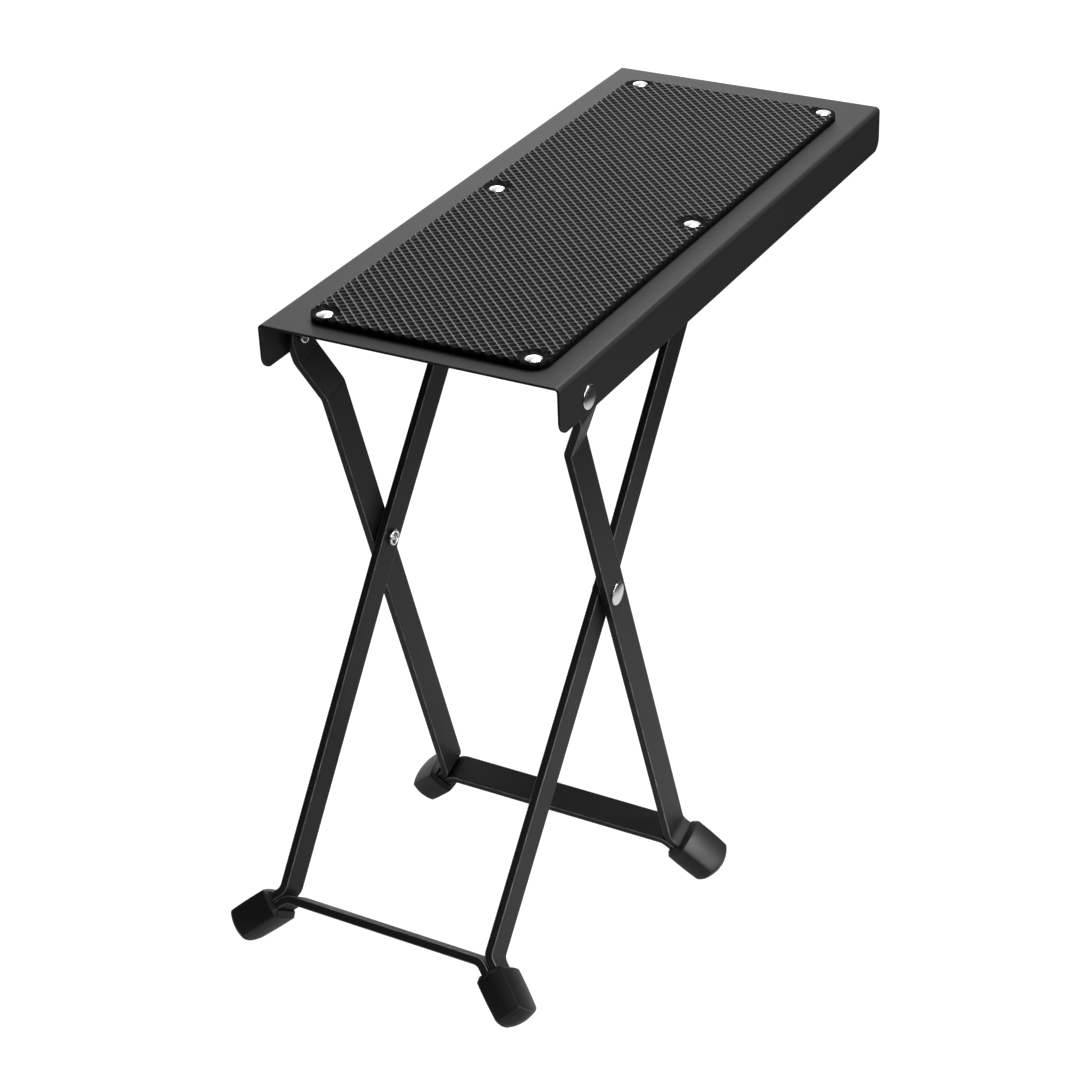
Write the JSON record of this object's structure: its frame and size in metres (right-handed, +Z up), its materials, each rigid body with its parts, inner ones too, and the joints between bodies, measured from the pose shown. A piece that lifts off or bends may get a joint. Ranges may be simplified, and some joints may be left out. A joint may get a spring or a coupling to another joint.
{
  "type": "guitar footrest",
  "caption": "Folding musician's footrest: sloping sheet-steel platform with a ribbed rubber mat on crossed U frames of flat bar with rubber feet; notched height rails under the plate.",
  "frame": {"origin": "centre of the bounding box's base, on the floor that the four feet stand on", "axes": "+Z up; +Y from the platform's low front end to its high rear end; +X to the right of someone who sits behind the low front end and faces the rear"},
  "size_m": [0.1364, 0.2692, 0.286],
  "materials": {
    "plate_coat": "satin black powder coat",
    "bar_coat": "satin black powder coat",
    "mat_rubber": "matte black, ribbed in a fine diamond pattern",
    "cap_rubber": "matte black",
    "rivet_metal": "bright nickel plate",
    "rod_metal": "zinc plate"
  },
  "bodies": {
    "outer_frame": {"outer_frame": "bar_coat", "foot_cap_rear_left": "cap_rubber", "foot_cap_rear_right": "cap_rubber", "scissor_rivet_left": "rivet_metal", "scissor_rivet_right": "rivet_metal", "scissor_washer_left": "rivet_metal", "scissor_washer_right": "rivet_metal"},
    "inner_frame": {"inner_frame": "bar_coat", "cross_rod": "rod_metal", "foot_cap_front_left": "cap_rubber", "foot_cap_front_right": "cap_rubber"},
    "platform": {"platform": "plate_coat", "rubber_pad": "mat_rubber", "pad_rivet_front_left": "rivet_metal", "pad_rivet_front_right": "rivet_metal", "pad_rivet_middle_left": "rivet_metal", "pad_rivet_middle_right": "rivet_metal", "pad_rivet_rear_left": "rivet_metal", "pad_rivet_rear_right": "rivet_metal", "height_rail_left": "plate_coat", "height_rail_right": "plate_coat", "platform_hinge_rivet_left": "rivet_metal", "platform_hinge_rivet_right": "rivet_metal"}
  },
  "joints": [
    {"name": "scissor_hinge", "type": "hinge", "parent": "outer_frame", "child": "inner_frame", "pos_m": [0, -0.05763, 0.13962], "axis": [-1, 0, 0], "range_deg": [0, 114]},
    {"name": "platform_hinge", "type": "hinge", "parent": "outer_frame", "child": "platform", "pos_m": [0, -0.10599, 0.22475], "axis": [-1, 0, 0], "range_deg": [0, 67.1]}
  ],
  "couplings": [
    {"joint": "platform_hinge", "follows": "scissor_hinge", "ratio": 0.588}
  ]
}
